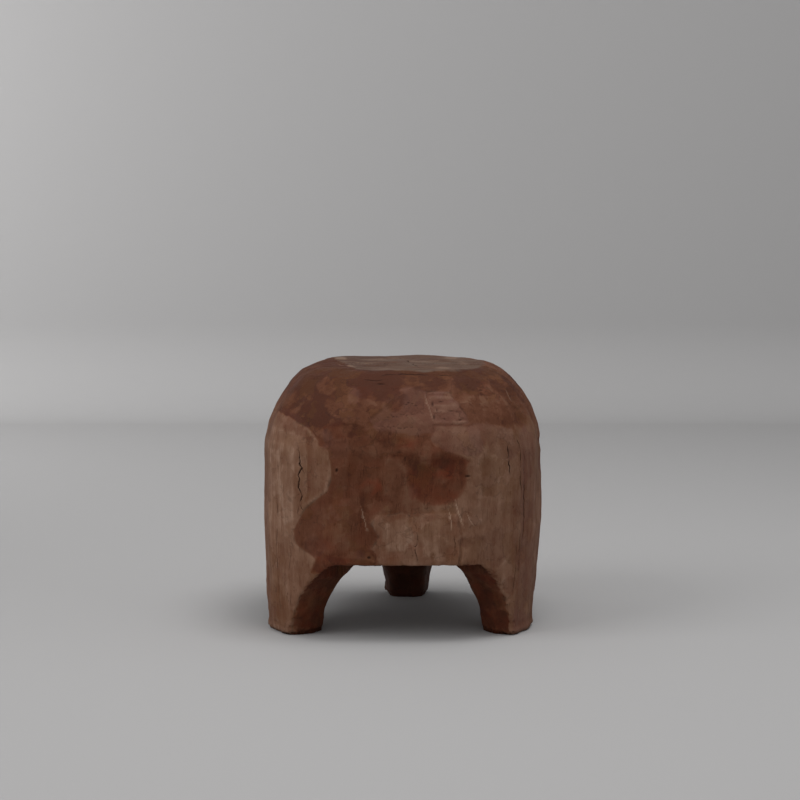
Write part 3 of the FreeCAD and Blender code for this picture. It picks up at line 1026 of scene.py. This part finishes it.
# %% Blotches, streaks and fibres
blotches = pattern((60, 60, 52), 4.0, in_mm)
specks = pattern((5, 5, 7), 3.0, in_mm)
bands = pattern((17, 17, 300), 2.0)
streaks = pattern((7, 7, 200), 3.0)
seat_marks = pattern((46, 24, 30), 5.0, in_mm)
fine_streaks = pattern((3.0, 3.0, 120), 2.0)
fibres = pattern((1.1, 1.1, 34), 2.0)
print(f"wood so far: {len(tree.nodes)} nodes")

# %% Torn patches, and the seams between them
PATCH, SMALL_PATCH = (26.0, 34.0), (10.0, 20.0)        # width, and how far the edges are torn
TATTER_SIZE = 14.0
torn = add(tree, "ShaderNodeTexNoise", {"Vector": in_mm, "Scale": 1 / TATTER_SIZE, "Detail": 3.0})


def torn_cells(width, tear, **settings):
    """Cells of a width in millimetres, with edges torn by up to half of the second size."""
    pull = add(tree, "ShaderNodeVectorMath", {0: torn.outputs["Color"], "Scale": tear}, operation="SCALE")
    moved = add(tree, "ShaderNodeVectorMath", {0: in_mm, 1: pull.outputs[0]}, operation="ADD")
    place_and_scale = {"Vector": moved.outputs[0], "Scale": 1 / width}
    return add(tree, "ShaderNodeTexVoronoi", place_and_scale, **settings)


patches, small_patches = (
    add(tree, "ShaderNodeSeparateColor", {0: torn_cells(*kind).outputs["Color"]}).outputs
    for kind in (PATCH, SMALL_PATCH)
)
seam_gap = torn_cells(*PATCH, feature="DISTANCE_TO_EDGE").outputs["Distance"]
print(f"torn patches {PATCH[0]:.0f} mm and {SMALL_PATCH[0]:.0f} mm wide")

# %% Patterns made firm: what lies between the low and the high value is stretched to 0 and 1
firm = {}
for name, source, low, high in (
    ("pores", pattern((1.6, 1.6, 22), 1.0), 0.66, 0.74),
    ("seam_lines", seam_gap, 0.06, 0.0),
    ("seam_spots", pattern((22, 22, 22), 2.0, in_mm), 0.50, 0.60),
    ("red_patches", pattern((24, 24, 20), 3.0, in_mm), 0.30, 0.74),
    ("mauve_patches", patches[1], 0.45, 0.75),
    ("ochre_patches", patches[2], 0.55, 0.85),
):
    stretched = add(tree, "ShaderNodeMapRange", {0: source, 1: low, 2: high}, clamp=True,
                    interpolation_type="SMOOTHSTEP")
    firm[name] = stretched.outputs[0]
print("firm patterns:", ", ".join(firm))

# %% Rings round the heart, seen on the seat
RING_WIDTH = 5.5
heart_shift = add(tree, "ShaderNodeVectorMath", {0: in_grain, 1: (*HEART, 0)}, operation="SUBTRACT")
flat = add(tree, "ShaderNodeVectorMath", {0: heart_shift.outputs[0], 1: (1, 1, 0)}, operation="MULTIPLY")
from_heart = add(tree, "ShaderNodeVectorMath", {0: flat.outputs[0]}, operation="LENGTH").outputs["Value"]
ring_turn = add(tree, "ShaderNodeMath", {0: from_heart, 1: 2 * math.pi / RING_WIDTH}, operation="MULTIPLY")
ring_wave = add(tree, "ShaderNodeMath", {0: ring_turn.outputs[0]}, operation="SINE").outputs[0]
rings = add(tree, "ShaderNodeMath", {0: ring_wave, 1: 0.5, 2: 0.5}, operation="MULTIPLY_ADD").outputs[0]
print(f"rings {RING_WIDTH} mm wide round {HEART}")

# %% How pale the wood is
grain_shows = finish["clear_grain"]
blotch_reach = shifted(0.44, [(finish["long_grain"], -0.12)])
patch_reach = shifted(0.16, [(finish["long_grain"], -0.10)])
paleness = shifted(finish["tone"], [
    (blotches, blotch_reach), (patches[0], patch_reach), (small_patches[0], 0.10), (specks, 0.18),
    (bands, 0.50, finish["long_grain"]), (streaks, 0.55, grain_shows),
    (fine_streaks, 0.35, grain_shows), (fibres, 0.18), (rings, 0.04),
    (seat_marks, 1.5, finish["end_grain"]),
])
worn = add(tree, "ShaderNodeMath", {0: finish["wear"], 1: 0.12, 2: paleness}, operation="MULTIPLY_ADD")
pored = add(tree, "ShaderNodeMath", {0: firm["pores"], 1: -0.14, 2: worn.outputs[0]},
            operation="MULTIPLY_ADD")
print(f"wood so far: {len(tree.nodes)} nodes")

# %% Colours from tone: oiled dark, worn mid-brown, rubbed pale
TONES = (
    (0.00, "#492719"), (0.12, "#56311F"), (0.35, "#643E2C"),
    (0.58, "#704E3B"), (0.82, "#81604D"), (1.00, "#947562"),
)
tones = add(tree, "ShaderNodeValToRGB", {0: pored.outputs[0]})
ramp_stops = tones.color_ramp.elements
while len(ramp_stops) < len(TONES):
    ramp_stops.new(0.5)
for stop, (position, colour) in zip(ramp_stops, TONES):
    stop.position = position
    stop.color = linear(colour)
print(f"tones: {len(TONES)}, from {TONES[0][1]} to {TONES[-1][1]}")

# %% [markdown]
# ### Hue
#
# Brown alone looks like paint. Old oil is reddest where it is thickest, and a few patches lean to yellow
# ochre. The shoulder has greyer mauve patches where the finish was rubbed through, and the mauve is
# also a painted sheen, the grey that cool light on wax gives. The end grain of the seat has greyed.
# Slashes are raw wood, and cracks hold the dark of the inside. A near-black brown is painted shade on
# the rear leg, the underside and the soles, and dirt in seams and along edges.

# %% Red, mauve, ochre, grey, raw wood and shadow
# Mauve is partly rubbed-through finish and partly a painted sheen of cool light on wax
RED_OIL, MAUVE, OCHRE = linear("#6E2A14"), linear("#6A483F"), linear("#654420")
GREYED, RAW, CRACK_DARK = linear("#5C4D43"), linear("#BFA18A"), linear("#1B0F0A")
# A near-black brown: dirt in the patch seams and along edges, and painted shade on the rear leg, the
# underside and the soles
DARK_OF_SHADE_AND_DIRT = linear("#1E100A")
mauve_reach = shifted(0.22, [(finish["mauve"], 0.6)])
grey_grain = shifted(0.55, [(seat_marks, 1.6), (fibres, 0.4), (rings, 0.25)])

# What is laid over the brown, one over the other: colour, and the shares that are multiplied
LAYERS = (
    # Mauve patches: partly rubbed-through finish, partly painted sheen
    (MAUVE, firm["mauve_patches"], mauve_reach),
    (MAUVE, finish["mauve"], 0.6),
    (OCHRE, firm["ochre_patches"], 0.15),
    (RED_OIL, finish["redness"], firm["red_patches"], 0.55),
    (GREYED, finish["end_grain"], grey_grain),
    (RAW, finish["scuff"], 0.75),
    (DARK_OF_SHADE_AND_DIRT, firm["seam_lines"], firm["seam_spots"], 0.26),
    # Painted shade on the rear leg, the underside and the soles, with dirt along edges
    (DARK_OF_SHADE_AND_DIRT, finish["painted_shade_and_dirt"]),
    (CRACK_DARK, finish["crack"]),
)
colour = tones.outputs[0]
for laid_over, share, *others in LAYERS:
    for other in others:
        share = add(tree, "ShaderNodeMath", {0: share, 1: other}, operation="MULTIPLY").outputs[0]
    mixed = add(tree, "ShaderNodeMix", {0: share, 6: colour, 7: laid_over}, data_type="RGBA")
    colour = mixed.outputs[2]
print(f"colours laid over the brown: {len(LAYERS)}")

# %% [markdown]
# ### Fine relief and sheen
#
# Geometry carries every mark wider than about a millimetre. What is finer is bump: fibres up to
# half a millimetre high, open pores, streaks, and small dents from use. The heights are added up in
# millimetres, and the bump node is told that one unit is a millimetre.

# %% Bump, sheen and the shader
dents = pattern((11, 11, 13), 3.0, in_mm)
relief = 0.0
for source, millimetres in (
    (fibres, 0.50), (firm["pores"], -0.30), (dents, 0.85), (specks, 0.35), (streaks, 0.5),
):
    relief = add(tree, "ShaderNodeMath", {0: source, 1: millimetres, 2: relief},
                 operation="MULTIPLY_ADD").outputs[0]
bump = add(tree, "ShaderNodeBump", {"Strength": 1.0, "Distance": MM, "Height": relief})
sheen = shifted(0.72, [(blotches, 0.20), (specks, 0.14)])
sheen = add(tree, "ShaderNodeMath", {0: finish["wear"], 1: -0.06, 2: sheen}, operation="MULTIPLY_ADD")
surface = add(tree, "ShaderNodeBsdfPrincipled", {
    "Base Color": colour, "Roughness": sheen.outputs[0], "Normal": bump.outputs[0], "IOR": 1.48,
    "Specular IOR Level": 0.15,
})
add(tree, "ShaderNodeOutputMaterial", {"Surface": surface.outputs[0]})

for name, piece in pieces.items():
    piece.data.materials.append(wood)
    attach(piece, "root")
    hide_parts(name)
print(f"wood: {len(tree.nodes)} nodes on {len(pieces)} pieces")

# %% [markdown]
# ## The room that isn't part of it
#
# A matte floor that curves up into a wall, like a photographer's paper roll, so that no hard line
# crosses the picture behind the stool. It is stage, not part of the object.

# %% Floor and wall
ROLL_HALF_WIDTH, ROLL_FRONT, WALL_DISTANCE, WALL_HEIGHT, BEND_RADIUS = 7.0, -7.0, 2.65, 4.5, 0.25
BEND_STEPS = 12


def paper_roll():
    """A floor and a wall in one sheet, with a rounded foot between them."""
    profile = [(ROLL_FRONT, 0.0)]
    for step in range(BEND_STEPS + 1):
        angle = math.pi / 2 * step / BEND_STEPS
        y = WALL_DISTANCE - BEND_RADIUS + BEND_RADIUS * math.sin(angle)
        profile.append((y, BEND_RADIUS * (1 - math.cos(angle))))
    profile.append((WALL_DISTANCE, WALL_HEIGHT))
    corners = [(x, y, z) for x in (-ROLL_HALF_WIDTH, ROLL_HALF_WIDTH) for y, z in profile]
    count = len(profile)
    faces = [(i, i + count, i + count + 1, i + 1) for i in range(count - 1)]
    mesh = bpy.data.meshes.new("paper_roll")
    mesh.from_pydata(corners, [], faces)
    mesh.polygons.foreach_set("use_smooth", [True] * len(mesh.polygons))
    roll = bpy.data.objects.new("paper_roll", mesh)
    bpy.context.collection.objects.link(roll)
    return roll


paper = bpy.data.materials.new("matte_grey_paper")
paper.use_nodes = True
paper_surface = paper.node_tree.nodes["Principled BSDF"]
paper_surface.inputs["Base Color"].default_value = linear("#AEADAD")
paper_surface.inputs["Roughness"].default_value = 0.9
paper_surface.inputs["Specular IOR Level"].default_value = 0.2
roll = paper_roll()
roll.data.materials.append(paper)
print(f"paper roll: {2 * ROLL_HALF_WIDTH:.0f} m wide, its wall {WALL_DISTANCE} m behind the stool")

# %% [markdown]
# ## Light and camera
#
# The light is that of a bright, overcast room: an even sky, a broad lamp overhead, and one from the
# left in front that gives the forms a lighter and a darker side. Together they light a level surface
# so that its colour renders about as it is written. A third lamp only brightens the wall at the
# left. The camera stands 3 m away and 0.63 m above the floor, looks down by 6 degrees, and has a
# long lens, as in the photograph.

# %% Light
ZENITH, HORIZON = 0.50, 0.45
sky = bpy.data.worlds.new("even_sky")
sky.use_nodes = True
sky_tree = sky.node_tree
background = sky_tree.nodes["Background"]
background.inputs["Color"].default_value = (1.0, 1.0, 1.0, 1.0)
direction = add(sky_tree, "ShaderNodeTexCoord").outputs["Generated"]
climb = add(sky_tree, "ShaderNodeSeparateXYZ", {0: direction}).outputs["Z"]
glow = add(sky_tree, "ShaderNodeMapRange", {0: climb, 1: 0.0, 2: 1.0, 3: HORIZON, 4: ZENITH},
           clamp=True)
sky_tree.links.new(glow.outputs[0], background.inputs["Strength"])
bpy.context.scene.world = sky


def broad_lamp(name, place, aim, size, watts):
    """A square lamp at a place, turned to shine at a point."""
    lamp = bpy.data.lights.new(name, "AREA")
    lamp.size = size
    lamp.energy = watts
    stand = bpy.data.objects.new(name, lamp)
    stand.location = place
    way = [to - start for start, to in zip(place, aim)]
    flat_reach = math.hypot(way[0], way[1])
    stand.rotation_euler = (math.atan2(flat_reach, -way[2]), 0, math.atan2(-way[0], way[1]))
    bpy.context.collection.objects.link(stand)


broad_lamp("overhead", (0.6, -0.5, 3.2), (0, 0, 0.2), 1.5, 42)
broad_lamp("window_side", (-2.8, -1.5, 2.6), (0, 0, 0.2), 2.0, 46)
broad_lamp("wall_wash", (-2.4, 1.3, 1.2), (-1.62, 2.65, 1.2), 1.2, 25)
print(f"sky from {HORIZON} at the horizon to {ZENITH} overhead, three lamps")

# %% Camera
CAMERA_PLACE = (-0.0036, -2.970, 0.630)
CAMERA_DOWN = 6.0
LENS, SENSOR = 92.79, 36.0
camera = bpy.data.cameras.new("camera")
camera.lens = LENS
camera.sensor_width = SENSOR
eye = bpy.data.objects.new("camera", camera)
eye.location = CAMERA_PLACE
eye.rotation_euler = (math.radians(90 - CAMERA_DOWN), 0, 0)
bpy.context.collection.objects.link(eye)
bpy.context.scene.camera = eye
bpy.context.scene.view_settings.view_transform = "Standard"
print(f"camera: {LENS} mm lens, {CAMERA_PLACE[2]} m above the floor, {CAMERA_DOWN} degrees down")
